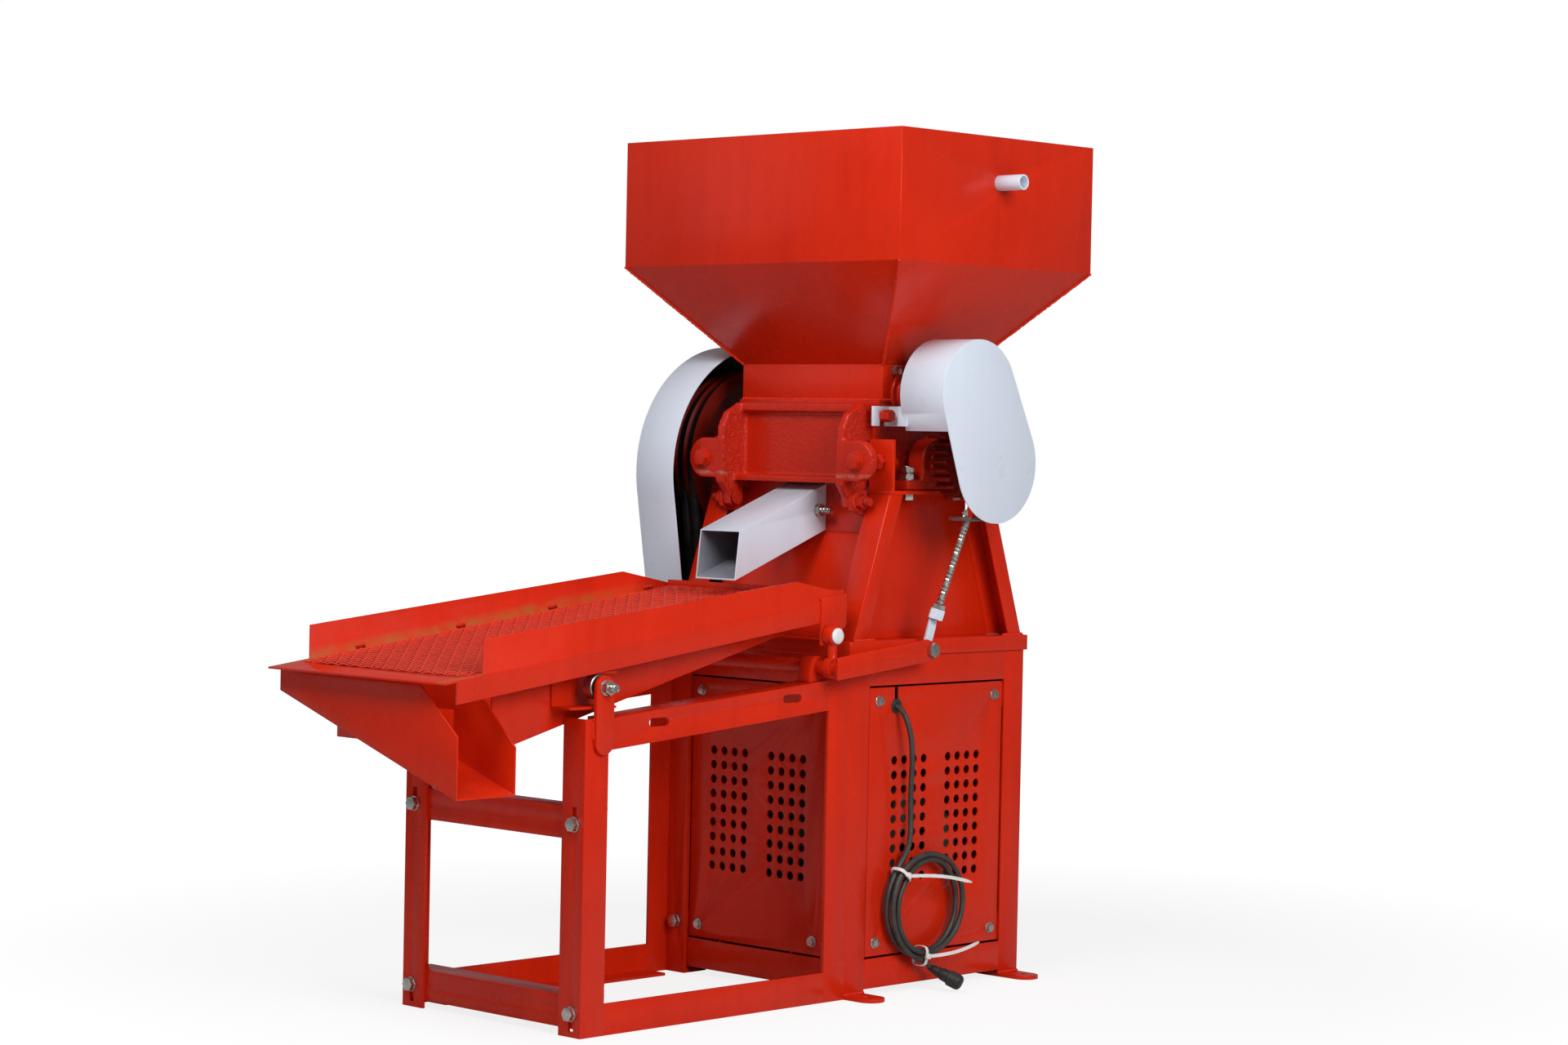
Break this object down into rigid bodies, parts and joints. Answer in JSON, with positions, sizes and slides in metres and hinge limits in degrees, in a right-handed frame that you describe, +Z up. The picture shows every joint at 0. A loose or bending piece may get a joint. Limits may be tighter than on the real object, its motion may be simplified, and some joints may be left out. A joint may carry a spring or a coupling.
{
  "type": "coffee huller",
  "caption": "Motor-driven coffee huller: hopper, hulling head on a motor cabinet, and a shaking sieve with its side trough on a front stand.",
  "frame": {"origin": "on the floor, in the middle of the four foot bolts of the motor cabinet", "axes": "+Z up, -Y towards the sieve's mouth, +X towards the side with the cord and the gear guard"},
  "size_m": [0.5635, 1.089, 1.162],
  "materials": {
    "red_paint": "gloss enamel over sheet and angle iron",
    "cast_red": "gloss enamel over rough castings",
    "white_paint": "satin powder coat",
    "zinc": "bright zinc plating",
    "steel": "turned steel",
    "motor_paint": "satin grey-green paint",
    "belt_rubber": "matt",
    "cord_rubber": "satin",
    "plug_plastic": "moulded",
    "nylon": "natural nylon"
  },
  "bodies": {
    "machine": {"cabinet_frame": "red_paint", "front_panel": "red_paint", "rear_panel": "red_paint", "right_door": "red_paint", "left_panel": "red_paint", "foot_tabs": "red_paint", "base_tray": "red_paint", "a_frame_legs": "red_paint", "top_shelves": "red_paint", "inner_hood": "red_paint", "hopper": "red_paint", "feed_neck": "red_paint", "stand_legs": "red_paint", "stand_side_rails": "red_paint", "stand_cross_bars": "red_paint", "roller_ears": "red_paint", "rocker_bearings": "red_paint", "head_body": "cast_red", "front_cover": "cast_red", "cover_bolts": "cast_red", "pillow_blocks": "cast_red", "feed_bearings": "cast_red", "gear_guard": "white_paint", "belt_guard": "white_paint", "discharge_chute": "white_paint", "hopper_pipe": "white_paint", "zinc_bolts": "zinc", "panel_screws": "zinc", "hulling_screen": "steel", "hulling_blade": "steel", "motor_body": "motor_paint", "drive_belts": "belt_rubber", "power_cord": "cord_rubber", "cord_coil": "cord_rubber", "cord_grommet": "cord_rubber", "cord_plug": "plug_plastic", "cable_ties": "nylon"},
    "main_rotor": {"main_shaft": "steel", "hulling_roller": "steel", "main_pulley": "cast_red", "eccentric": "steel", "main_gear": "steel"},
    "motor_rotor": {"motor_shaft": "steel", "motor_pulley": "motor_paint"},
    "feed_rotor": {"feed_shaft": "steel", "feed_roller": "steel", "feed_gear": "steel"},
    "rocker": {"rocker_shaft": "red_paint", "rocker_lever": "red_paint", "lever_bolt": "zinc"},
    "rod": {"rod_eye": "zinc", "push_rod": "zinc", "eccentric_strap": "red_paint"},
    "sieve": {"sieve_tray": "red_paint", "sieve_mesh": "red_paint", "under_pan": "red_paint", "side_chute": "red_paint", "sieve_pins": "nylon"},
    "right_roller": {"right_track_roller": "steel"},
    "left_roller": {"left_track_roller": "steel"}
  },
  "joints": [
    {"name": "main_shaft_spin", "type": "hinge", "parent": "machine", "child": "main_rotor", "pos_m": [0, 0, 0.721], "axis": [1, 0, 0], "continuous": true},
    {"name": "motor_spin", "type": "hinge", "parent": "machine", "child": "motor_rotor", "pos_m": [0, 0, 0.18], "axis": [1, 0, 0], "continuous": true},
    {"name": "feed_roller_spin", "type": "hinge", "parent": "machine", "child": "feed_rotor", "pos_m": [0, -0.039, 0.81308], "axis": [1, 0, 0], "continuous": true},
    {"name": "rocker_rock", "type": "hinge", "parent": "machine", "child": "rocker", "pos_m": [0, -0.228, 0.447], "axis": [1, 0, 0], "range_deg": [-1.75, 1.75]},
    {"name": "push_rod_swing", "type": "hinge", "parent": "rocker", "child": "rod", "pos_m": [0.2, -0.057, 0.467], "axis": [1, 0, 0], "range_deg": [-2, 2]},
    {"name": "sieve_shake", "type": "slide", "parent": "machine", "child": "sieve", "axis": [0, 1, 0], "range_m": [-0.0014, 0.0014]},
    {"name": "right_roller_spin", "type": "hinge", "parent": "machine", "child": "right_roller", "pos_m": [0.15, -0.632, 0.436], "axis": [1, 0, 0], "continuous": true},
    {"name": "left_roller_spin", "type": "hinge", "parent": "machine", "child": "left_roller", "pos_m": [-0.15, -0.632, 0.436], "axis": [1, 0, 0], "continuous": true}
  ],
  "couplings": [
    {"joint": "motor_spin", "follows": "main_shaft_spin", "ratio": 2.7045},
    {"joint": "feed_roller_spin", "follows": "main_shaft_spin", "ratio": -0.78571},
    {"joint": "sieve_shake", "follows": "rocker_rock", "m_per_rad": -0.043},
    {"joint": "push_rod_swing", "follows": "rocker_rock", "ratio": -1}
  ]
}
